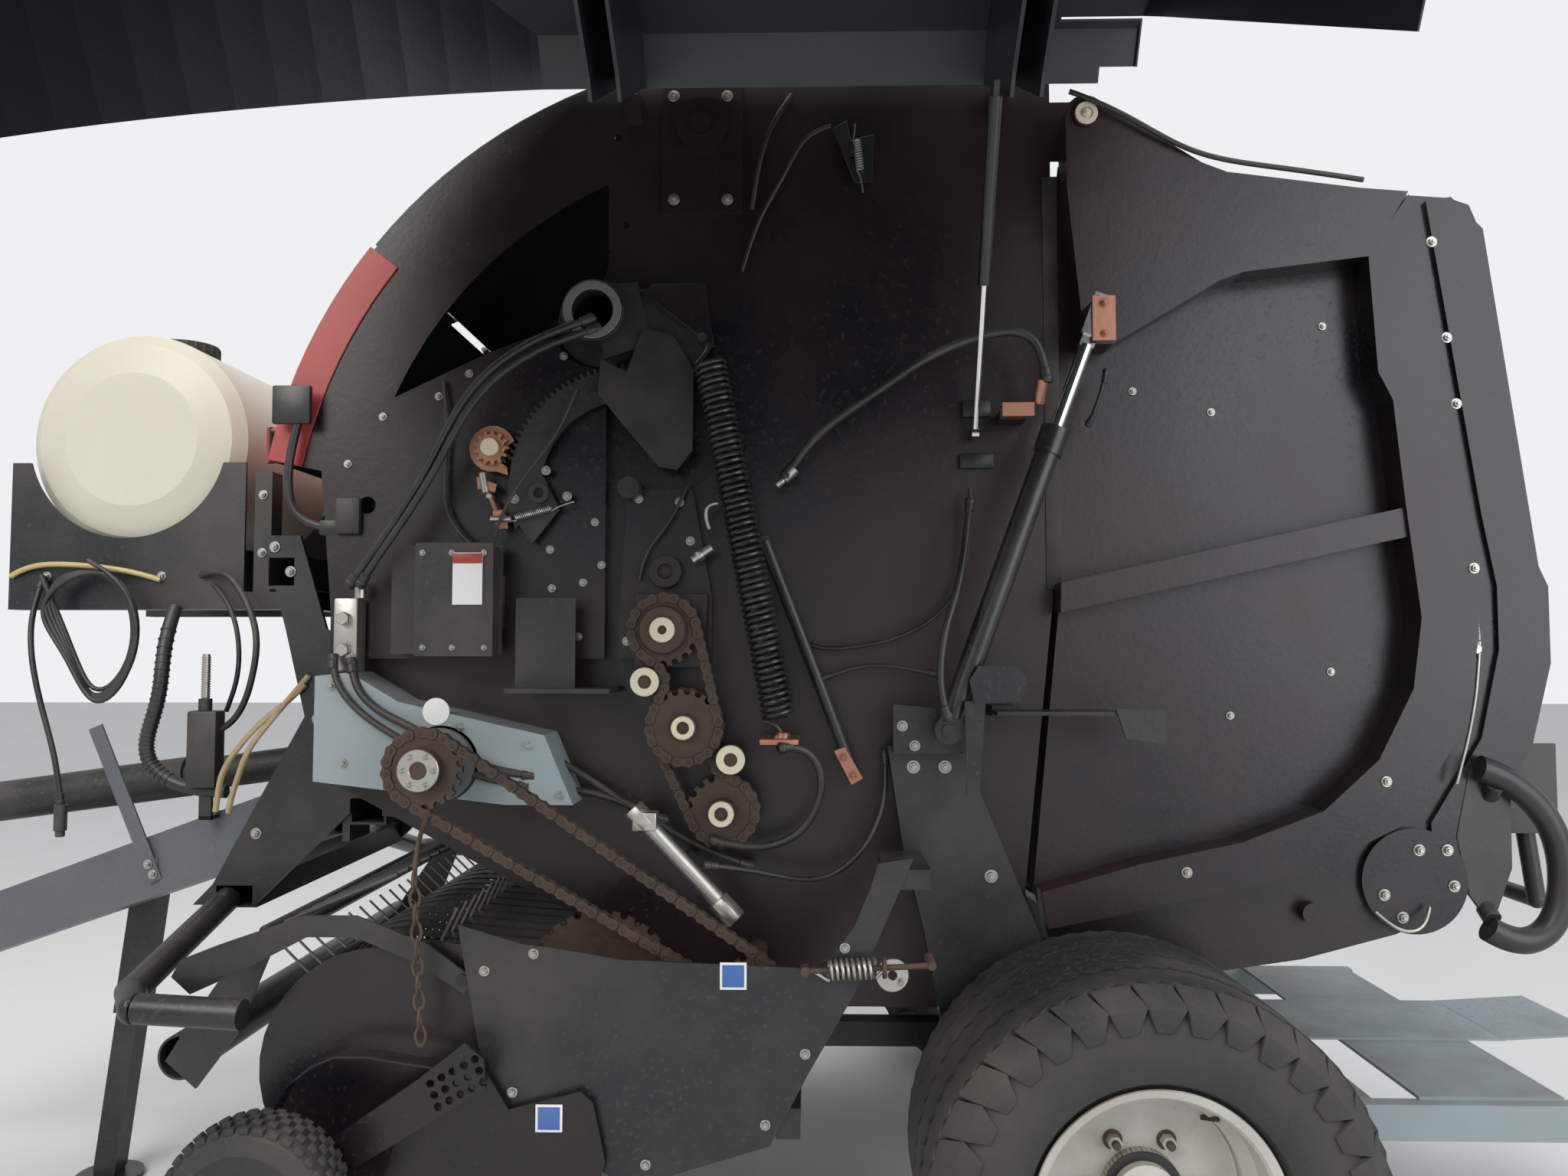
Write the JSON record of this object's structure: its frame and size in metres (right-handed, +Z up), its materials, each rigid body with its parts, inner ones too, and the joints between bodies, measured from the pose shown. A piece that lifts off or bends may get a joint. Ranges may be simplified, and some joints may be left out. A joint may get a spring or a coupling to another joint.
{
  "type": "round baler",
  "caption": "Trailed variable-chamber farm baler with lifting tailgate, side shields, pickup reel, chain drives and bale ramp, parked on its wheels and jack.",
  "frame": {"origin": "on the ground, under the middle of the whole box with the left shield raised; the axle is 0.912 m behind it and the machine's centre plane 0.590 m to its +Y side", "axes": "+X to the rear, +Y to the machine's right side, +Z up"},
  "size_m": [4.6652, 3.5405, 2.9195],
  "materials": {
    "wall_paint": "satin dark paint with a brown sheen",
    "frame_paint": "satin black paint, dusty",
    "red_paint": "gloss red paint, faded",
    "grey_paint": "satin grey paint",
    "pale_paint": "satin pale grey paint",
    "cast_grey": "painted casting",
    "tyre_rubber": "worn rubber",
    "rim_paint": "off-white paint, dirty",
    "belt_rubber": "ribbed belting",
    "roll_steel": "polished by crop",
    "chain_steel": "oily with light rust",
    "spring_steel": "gloss black",
    "rod_steel": "bright",
    "black_plastic": "matte",
    "tank_plastic": "milky",
    "tine_steel": "worn spring steel"
  },
  "bodies": {
    "chassis": {"side_wall_left": "wall_paint", "side_wall_right": "wall_paint", "front_frame": "frame_paint", "hood": "frame_paint", "tongue": "grey_paint", "hitch": "frame_paint", "jack_sleeve": "frame_paint", "pto_shaft": "black_plastic", "gearbox": "cast_grey", "gearbox_cover": "pale_paint", "axle": "frame_paint", "chamber_rolls": "roll_steel", "belts_front": "belt_rubber", "take_up": "frame_paint", "tension_springs": "spring_steel", "knife_gear": "wall_paint", "control_box": "black_plastic", "side_brackets": "frame_paint", "sprockets": "chain_steel", "chains": "chain_steel", "feeder_panels": "frame_paint", "feeder_rotor": "roll_steel", "tank": "tank_plastic", "tank_cap": "black_plastic", "tank_cradle": "frame_paint"},
    "front_door": {"front_door": "red_paint"},
    "jack_leg": {"jack_leg": "frame_paint"},
    "wheel_left": {"tyre_left": "tyre_rubber", "rim_left": "rim_paint"},
    "wheel_right": {"tyre_right": "tyre_rubber", "rim_right": "rim_paint"},
    "tailgate": {"tailgate_side_left": "wall_paint", "tailgate_side_right": "wall_paint", "tailgate_frame": "frame_paint", "tailgate_rolls": "roll_steel", "belts_rear": "belt_rubber"},
    "cylinder_left": {"cylinder_left": "spring_steel"},
    "rod_left": {"rod_left": "rod_steel"},
    "cylinder_right": {"cylinder_right": "spring_steel"},
    "rod_right": {"rod_right": "rod_steel"},
    "shield_left": {"shield_left": "red_paint"},
    "shield_right": {"shield_right": "red_paint"},
    "strut_rod_left": {"strut_rod_left": "rod_steel"},
    "strut_tube_left": {"strut_tube_left": "spring_steel"},
    "strut_rod_right": {"strut_rod_right": "rod_steel"},
    "strut_tube_right": {"strut_tube_right": "spring_steel"},
    "pickup": {"pickup_frame": "wall_paint", "pickup_bands": "frame_paint"},
    "tine_reel": {"tine_reel": "tine_steel"},
    "windguard": {"windguard": "frame_paint"},
    "gauge_wheel_left": {"gauge_wheel_left": "tyre_rubber"},
    "gauge_wheel_right": {"gauge_wheel_right": "tyre_rubber"},
    "ramp": {"ramp": "pale_paint"}
  },
  "joints": [
    {"name": "wheel_left_spin", "type": "hinge", "parent": "chassis", "child": "wheel_left", "pos_m": [0.9125, -0.36, 0.425], "axis": [0, 1, 0], "continuous": true},
    {"name": "wheel_right_spin", "type": "hinge", "parent": "chassis", "child": "wheel_right", "pos_m": [0.9125, 1.54, 0.425], "axis": [0, 1, 0], "continuous": true},
    {"name": "tailgate_lift", "type": "hinge", "parent": "chassis", "child": "tailgate", "pos_m": [0.9125, 0.59, 2.67], "axis": [0, -1, 0], "range_deg": [0, 55]},
    {"name": "cylinder_left_swing", "type": "hinge", "parent": "chassis", "child": "cylinder_left", "pos_m": [0.5805, -0.178, 1.277], "axis": [0, 1, 0], "range_deg": [0, 12.31]},
    {"name": "rod_left_slide", "type": "slide", "parent": "cylinder_left", "child": "rod_left", "axis": [0.345, 0, 0.9386], "range_m": [0, 0.3558]},
    {"name": "cylinder_right_swing", "type": "hinge", "parent": "chassis", "child": "cylinder_right", "pos_m": [0.5805, 1.358, 1.277], "axis": [0, 1, 0], "range_deg": [0, 12.31]},
    {"name": "rod_right_slide", "type": "slide", "parent": "cylinder_right", "child": "rod_right", "axis": [0.345, 0, 0.9386], "range_m": [0, 0.3558]},
    {"name": "shield_left_swing", "type": "hinge", "parent": "chassis", "child": "shield_left", "pos_m": [0.4495, -0.1, 2.77], "axis": [1, 0, 0], "range_deg": [0, 60]},
    {"name": "shield_right_swing", "type": "hinge", "parent": "chassis", "child": "shield_right", "pos_m": [0.4495, 1.28, 2.77], "axis": [1, 0, 0], "range_deg": [0, 60]},
    {"name": "strut_left_swing", "type": "hinge", "parent": "chassis", "child": "strut_rod_left", "pos_m": [0.6625, -0.05, 1.947], "axis": [-1, 0, 0], "range_deg": [0, 22.57]},
    {"name": "strut_left_slide", "type": "slide", "parent": "strut_rod_left", "child": "strut_tube_left", "axis": [0, -0.4785, 0.8781], "range_m": [-0.2628, 0]},
    {"name": "strut_right_swing", "type": "hinge", "parent": "chassis", "child": "strut_rod_right", "pos_m": [0.6625, 1.23, 1.947], "axis": [-1, 0, 0], "range_deg": [0, 22.57]},
    {"name": "strut_right_slide", "type": "slide", "parent": "strut_rod_right", "child": "strut_tube_right", "axis": [0, 0.1051, 0.9945], "range_m": [0, 0.2628]},
    {"name": "front_door_lift", "type": "hinge", "parent": "chassis", "child": "front_door", "pos_m": [-0.764, 0.59, 2.41319], "axis": [0, 1, 0], "range_deg": [0, 18]},
    {"name": "pickup_lift", "type": "hinge", "parent": "chassis", "child": "pickup", "pos_m": [-0.1635, 0.59, 0.732], "axis": [0, -1, 0], "range_deg": [0, 22]},
    {"name": "tine_reel_spin", "type": "hinge", "parent": "pickup", "child": "tine_reel", "pos_m": [-0.6075, 0.59, 0.59], "axis": [0, 1, 0], "continuous": true},
    {"name": "windguard_lift", "type": "hinge", "parent": "pickup", "child": "windguard", "pos_m": [-0.4255, 0.59, 0.778], "axis": [0, 1, 0], "range_deg": [0, 10]},
    {"name": "gauge_wheel_left_spin", "type": "hinge", "parent": "pickup", "child": "gauge_wheel_left", "pos_m": [-0.7685, -0.485, 0.397], "axis": [0, 1, 0], "continuous": true},
    {"name": "gauge_wheel_right_spin", "type": "hinge", "parent": "pickup", "child": "gauge_wheel_right", "pos_m": [-0.7685, 1.665, 0.397], "axis": [0, 1, 0], "continuous": true},
    {"name": "jack_slide", "type": "slide", "parent": "chassis", "child": "jack_leg", "axis": [0.1219, 0, 0.9925], "range_m": [0, 0.25]},
    {"name": "ramp_tilt", "type": "hinge", "parent": "chassis", "child": "ramp", "pos_m": [0.8725, 0.59, 0.5], "axis": [0, 1, 0], "range_deg": [0, 10], "stiffness_Nm_per_rad": 8000, "springref_deg": -20.05}
  ],
  "couplings": [
    {"joint": "cylinder_left_swing", "follows": "tailgate_lift", "ratio": 0.22354},
    {"joint": "rod_left_slide", "follows": "tailgate_lift", "m_per_rad": 0.37013},
    {"joint": "cylinder_right_swing", "follows": "tailgate_lift", "ratio": 0.22354},
    {"joint": "rod_right_slide", "follows": "tailgate_lift", "m_per_rad": 0.37013},
    {"joint": "strut_left_swing", "follows": "shield_left_swing", "ratio": 0.37588},
    {"joint": "strut_left_slide", "follows": "shield_left_swing", "m_per_rad": -0.2505},
    {"joint": "strut_right_swing", "follows": "shield_right_swing", "ratio": 0.37588},
    {"joint": "strut_right_slide", "follows": "shield_right_swing", "m_per_rad": 0.2505}
  ]
}
